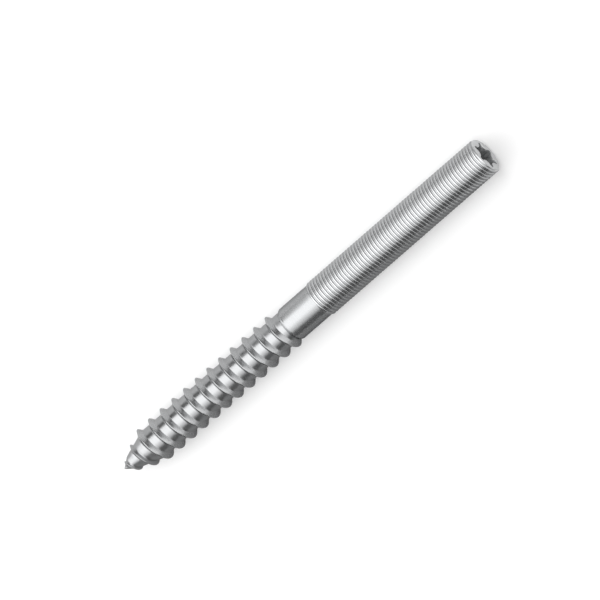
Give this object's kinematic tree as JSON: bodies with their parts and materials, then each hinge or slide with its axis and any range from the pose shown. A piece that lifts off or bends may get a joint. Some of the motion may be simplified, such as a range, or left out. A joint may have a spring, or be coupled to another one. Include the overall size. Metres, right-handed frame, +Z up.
{
  "type": "hanger bolt",
  "caption": "Double-ended steel fastener: a coarse wood thread with a gimlet point, a plain shank, and a fine machine thread with a six-lobe drive socket in its end.",
  "frame": {"origin": "on the bolt's axis, where the machine thread starts at the plain shank", "axes": "+X along the axis towards the driving end, +Z up as the bolt lies on its side, one socket lobe upwards"},
  "size_m": [0.1, 0.0088, 0.0088],
  "materials": {
    "bright_steel": "bright, smooth rolled and turned steel"
  },
  "bodies": {
    "root": {"hanger_bolt": "bright_steel"}
  },
  "joints": []
}
